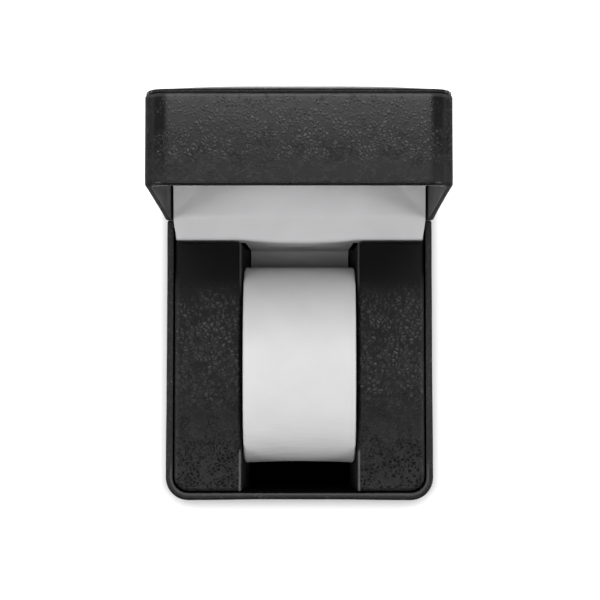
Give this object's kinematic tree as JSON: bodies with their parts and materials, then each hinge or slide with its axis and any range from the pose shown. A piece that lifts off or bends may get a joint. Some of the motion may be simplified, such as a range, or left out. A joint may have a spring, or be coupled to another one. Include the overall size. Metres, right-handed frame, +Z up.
{
  "type": "watch gift box",
  "caption": "Black leatherette watch box with a padded lid that swings open on sprung hinges, a white satin lining and a lift-out white cuff between raised blocks.",
  "frame": {"origin": "middle of the underside sheet's bottom face, on the table", "axes": "+X to the right, +Y to the back where the hinges are, +Z up; the lid stands open at a right angle"},
  "size_m": [0.102, 0.1434, 0.155],
  "materials": {
    "black_leatherette": "pebbled, low sheen",
    "white_leatherette": "smooth, fine wrinkles, low sheen",
    "black_plastic": "moulded, matte",
    "olive_plastic": "moulded, matte, dark olive grey",
    "white_plastic": "moulded, matte",
    "black_flock": "flocked",
    "grey_board": "raw pressed board",
    "white_satin": "woven satin, soft sheen",
    "cream_foam": "open-cell foam",
    "plated_steel": "nickel-plated spring steel"
  },
  "bodies": {
    "base": {"base_tray": "black_plastic", "base_wrap": "black_leatherette", "underside_sheet": "black_flock", "left_block_former": "black_plastic", "left_block_cover": "black_leatherette", "right_block_former": "black_plastic", "right_block_cover": "black_leatherette", "channel_floor_board": "grey_board", "channel_floor_lining": "black_leatherette", "channel_front_board": "black_leatherette", "rear_board": "grey_board", "satin_flap": "white_satin", "left_hinge_base_leaf": "plated_steel", "left_hinge_pin": "plated_steel", "left_hinge_spring": "plated_steel", "left_hinge_base_rivet_1": "plated_steel", "left_hinge_base_rivet_2": "plated_steel", "right_hinge_base_leaf": "plated_steel", "right_hinge_pin": "plated_steel", "right_hinge_spring": "plated_steel", "right_hinge_base_rivet_1": "plated_steel", "right_hinge_base_rivet_2": "plated_steel"},
    "lid": {"lid_shell": "olive_plastic", "lid_wrap": "black_leatherette", "lid_pad_cover": "black_leatherette", "lid_pad_foam": "cream_foam", "lid_cushion_board": "grey_board", "lid_cushion": "white_satin", "left_hinge_lid_leaf": "plated_steel", "left_hinge_lid_rivet_1": "plated_steel", "left_hinge_lid_rivet_2": "plated_steel", "right_hinge_lid_leaf": "plated_steel", "right_hinge_lid_rivet_1": "plated_steel", "right_hinge_lid_rivet_2": "plated_steel"},
    "cuff": {"cuff_core": "white_plastic", "cuff_cover": "white_leatherette", "cuff_lining": "white_leatherette"}
  },
  "joints": [
    {"name": "lid_hinge", "type": "hinge", "parent": "base", "child": "lid", "pos_m": [0, 0.0535, 0.048], "axis": [1, 0, 0], "range_deg": [0, 90], "deforming": ["satin_flap"]},
    {"name": "cuff_lift", "type": "slide", "parent": "base", "child": "cuff", "axis": [0, 0, 1], "range_m": [0, 0.09]}
  ]
}
